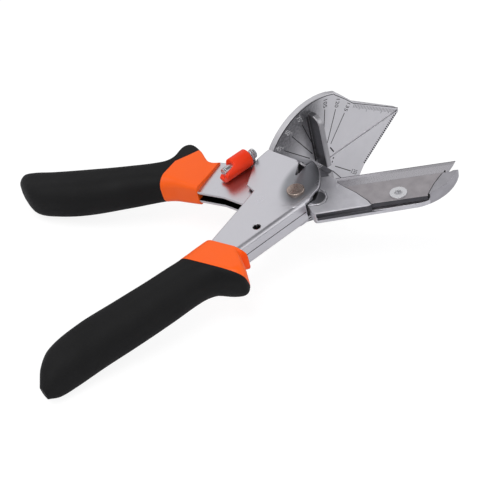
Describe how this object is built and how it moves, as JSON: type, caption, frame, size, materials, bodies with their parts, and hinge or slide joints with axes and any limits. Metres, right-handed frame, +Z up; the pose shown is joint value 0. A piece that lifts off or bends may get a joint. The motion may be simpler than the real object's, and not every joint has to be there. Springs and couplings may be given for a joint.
{
  "type": "mitre shears",
  "caption": "Hand shears with a blade that closes on a flat table marked with mitre angles, two gripped handles sprung open, and a flip-over latch.",
  "frame": {"origin": "middle of the bounding box, on the surface the shears lie on", "axes": "+X along the table's slot towards its tip, +Z up, away from the surface they lie on; opened as pictured"},
  "size_m": [0.199, 0.1632, 0.0685],
  "materials": {
    "cast_table": "ground and lightly brushed casting",
    "plated_channel": "bright nickel plate over pressed steel",
    "zinc_casting": "grainy die casting",
    "clamp_casting": "die casting with a ground slope",
    "blade_steel": "ground tool steel",
    "zinc_screw": "bright zinc plate",
    "rivet_steel": "turned steel with a brown cast",
    "spring_steel": "drawn wire",
    "bush_steel": "turned steel",
    "black_grip": "matte soft-touch moulding",
    "orange_collar": "satin moulding",
    "red_sleeve": "satin moulding"
  },
  "bodies": {
    "table_handle": {"angle_table": "cast_table", "table_rivets": "rivet_steel", "lower_handle_channel": "plated_channel", "lower_grip": "black_grip", "lower_grip_collar": "orange_collar", "pivot_rivet": "rivet_steel", "pivot_bush": "bush_steel", "pivot_washers": "bush_steel", "return_spring": "spring_steel"},
    "blade_handle": {"upper_handle_channel": "plated_channel", "upper_grip": "black_grip", "upper_grip_collar": "orange_collar", "blade_carrier": "zinc_casting", "carrier_rivets": "bush_steel", "blade": "blade_steel", "blade_clamp_plate": "clamp_casting", "clamp_screw": "zinc_screw", "latch_screw": "zinc_screw"},
    "latch": {"latch_lever": "zinc_screw", "latch_sleeve": "red_sleeve"}
  },
  "joints": [
    {"name": "handle_hinge", "type": "hinge", "parent": "table_handle", "child": "blade_handle", "pos_m": [0.03078, -0.03569, 0.03291], "axis": [-0.2019, 0.0858, 0.9757], "range_deg": [0, 41], "stiffness_Nm_per_rad": 0.18, "springref_deg": -51.57, "deforming": ["return_spring"]},
    {"name": "latch_hinge", "type": "hinge", "parent": "blade_handle", "child": "latch", "pos_m": [0.03126, -0.00365, 0.03799], "axis": [0.9793, 0, 0.2026], "range_deg": [0, 206]}
  ]
}
